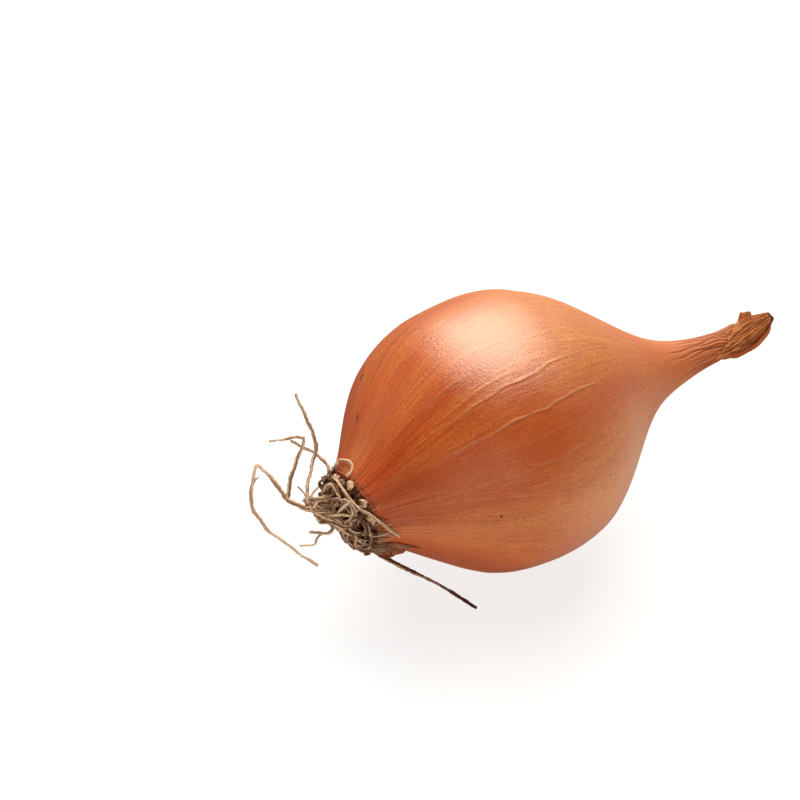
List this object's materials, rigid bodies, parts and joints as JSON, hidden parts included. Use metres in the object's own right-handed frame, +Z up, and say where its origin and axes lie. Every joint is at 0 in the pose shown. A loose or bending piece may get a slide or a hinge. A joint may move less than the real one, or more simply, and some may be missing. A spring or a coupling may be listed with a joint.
{
  "type": "shallot",
  "caption": "Whole shallot lying on its side: round bulb in papery copper skin, pinched neck with a dried brown end, torn skin edge and a tuft of dried roots.",
  "frame": {"origin": "middle of the small flat spot under the belly, on which the shallot lies", "axes": "+Z up, +X from the roots to the neck, -Y the side that faces the viewer"},
  "size_m": [0.0955, 0.0457, 0.0452],
  "materials": {
    "copper_skin": "smooth dry onion skin with a soft satin sheen",
    "dried_neck": "dried, ridged and matt",
    "torn_skin": "dark, thin and brittle",
    "dried_roots": "dry, fibrous and matt"
  },
  "bodies": {
    "root": {"bulb": "copper_skin", "neck_tip": "dried_neck", "skin_collar": "torn_skin", "root_tuft": "dried_roots"}
  },
  "joints": []
}
